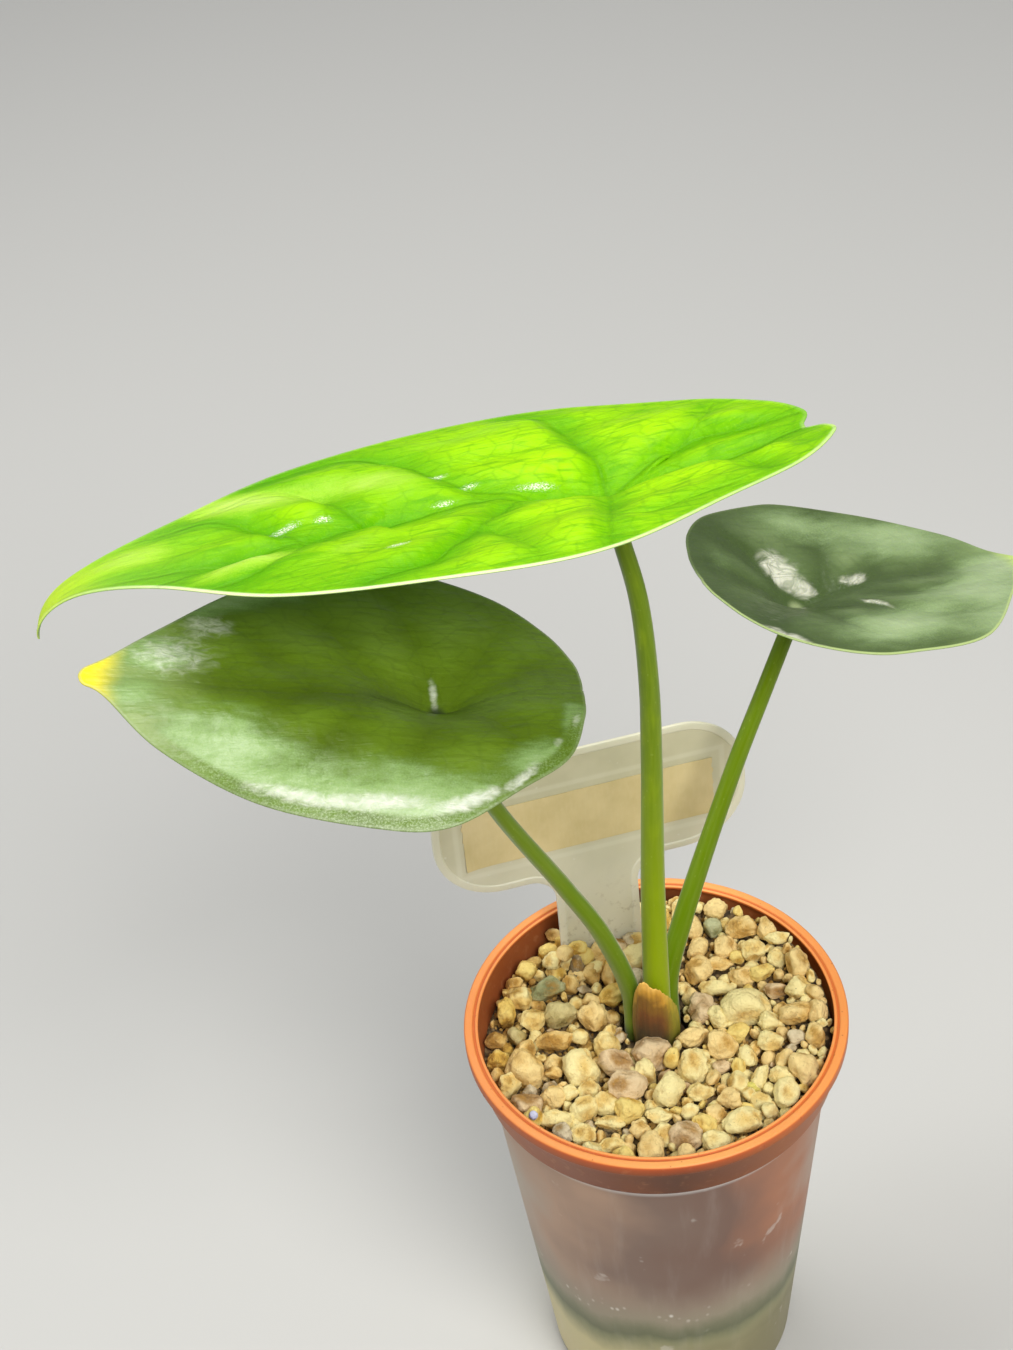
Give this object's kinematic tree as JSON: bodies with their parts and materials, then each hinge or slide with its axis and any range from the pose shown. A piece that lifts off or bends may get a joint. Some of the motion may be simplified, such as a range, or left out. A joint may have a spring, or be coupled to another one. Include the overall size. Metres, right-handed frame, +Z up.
{
  "type": "potted alocasia",
  "caption": "Young alocasia with quilted shield leaves on slender stalks, in a gravel-filled nursery pot hung in a frosted water cup, with a blank plant label.",
  "frame": {"origin": "centre of the cup's flat underside, which the plant stands on", "axes": "+Z up along the cup's axis, +X to the viewer's right and +Y away from the viewer of the picture"},
  "size_m": [0.1656, 0.1049, 0.2189],
  "materials": {
    "frosted_cup": "frosted, translucent",
    "water": "still water with a little algae",
    "terracotta_plastic": "satin",
    "gravel": "rough pumice and lava grit",
    "corm": "fibrous",
    "papery_sheath": "dry, papery",
    "stalk": "smooth, satin",
    "young_blade": "soft satin, quilted",
    "mature_blade": "waxy satin with silvery sheen",
    "label_plastic": "milky, translucent",
    "label_tape": "matt, unprinted"
  },
  "bodies": {
    "root": {"outer_cup": "frosted_cup", "reservoir_water": "water", "inner_pot": "terracotta_plastic", "substrate": "gravel", "rootstock": "corm", "sheath": "papery_sheath", "petiole_1": "stalk", "blade_1": "young_blade", "petiole_2": "stalk", "blade_2": "mature_blade", "petiole_3": "stalk", "blade_3": "mature_blade", "label": "label_plastic", "label_tape": "label_tape"}
  },
  "joints": []
}
